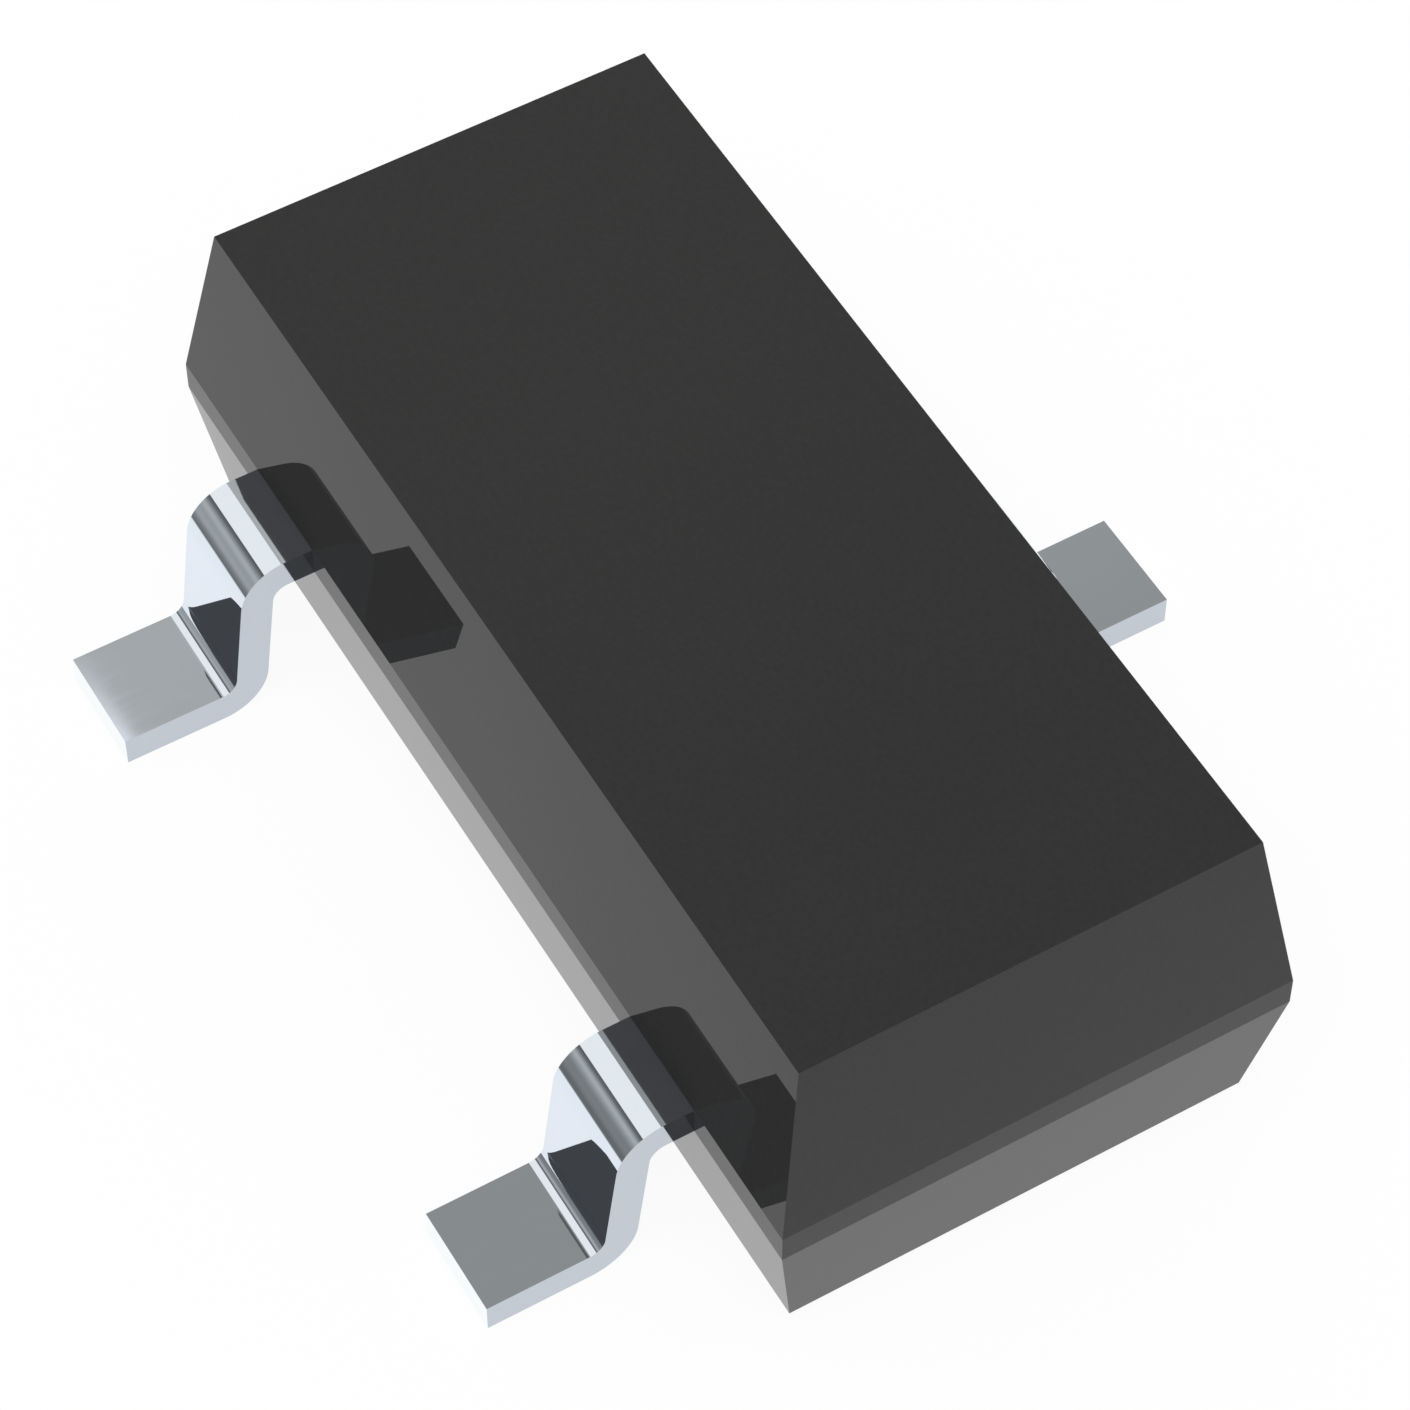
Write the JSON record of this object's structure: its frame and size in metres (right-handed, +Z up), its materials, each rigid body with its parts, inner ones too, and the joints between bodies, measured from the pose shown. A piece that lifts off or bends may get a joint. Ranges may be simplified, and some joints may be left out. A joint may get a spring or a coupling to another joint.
{
  "type": "voltage reference ic",
  "caption": "Small surface-mount voltage reference: dark moulded block with three bent gull-wing leads, two on one long side and one opposite.",
  "frame": {"origin": "on the plane that the three feet stand on, under the middle of the moulded body", "axes": "+X along the moulded body, -Y towards the side with two leads, +Z up out of the board"},
  "size_m": [0.003, 0.0026, 0.001],
  "materials": {
    "mould_compound": "gloss",
    "tin_plated_lead": "polished",
    "silver_adhesive": "satin",
    "silicon": "gloss",
    "gold_wire": "polished"
  },
  "bodies": {
    "root": {"mould_body": "mould_compound", "lead_1": "tin_plated_lead", "lead_2": "tin_plated_lead", "lead_3": "tin_plated_lead", "die_attach": "silver_adhesive", "reference_die": "silicon", "bond_wire_1": "gold_wire", "bond_wire_2": "gold_wire", "bond_wire_ground": "gold_wire"}
  },
  "joints": []
}
